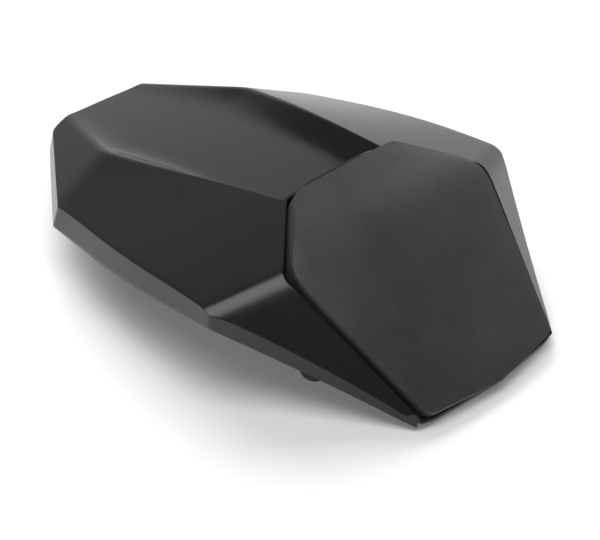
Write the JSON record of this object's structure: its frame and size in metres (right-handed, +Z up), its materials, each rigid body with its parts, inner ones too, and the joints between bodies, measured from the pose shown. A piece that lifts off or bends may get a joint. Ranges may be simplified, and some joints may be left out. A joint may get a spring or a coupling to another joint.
{
  "type": "motorcycle rear seat cowl",
  "caption": "Moulded black tail cover that takes the place of a passenger seat, with a padded backrest set in its front, a closed underside, front tongues and a rear latch striker.",
  "frame": {"origin": "on the floor under the middle of the overall length and width", "axes": "+Z up, -Y forward towards the rider, +X to the rider's left"},
  "size_m": [0.2516, 0.3632, 0.0967],
  "materials": {
    "shell_plastic": "satin black moulding",
    "pad_cover": "matt grained leatherette",
    "board_plastic": "plain",
    "tray_plastic": "fine textured black",
    "zinc": "zinc plated",
    "dark_screw": "black",
    "buffer_rubber": "matt"
  },
  "bodies": {
    "root": {"cowl_shell": "shell_plastic", "backrest_pad": "pad_cover", "pad_board": "board_plastic", "base_pan": "tray_plastic", "pad_washers": "zinc", "pad_screws": "zinc", "pad_tee_nuts": "zinc", "pan_screws": "dark_screw", "striker": "zinc", "striker_bolts": "zinc", "striker_nuts": "zinc", "buffers_front": "buffer_rubber", "buffers_rear": "buffer_rubber"}
  },
  "joints": []
}
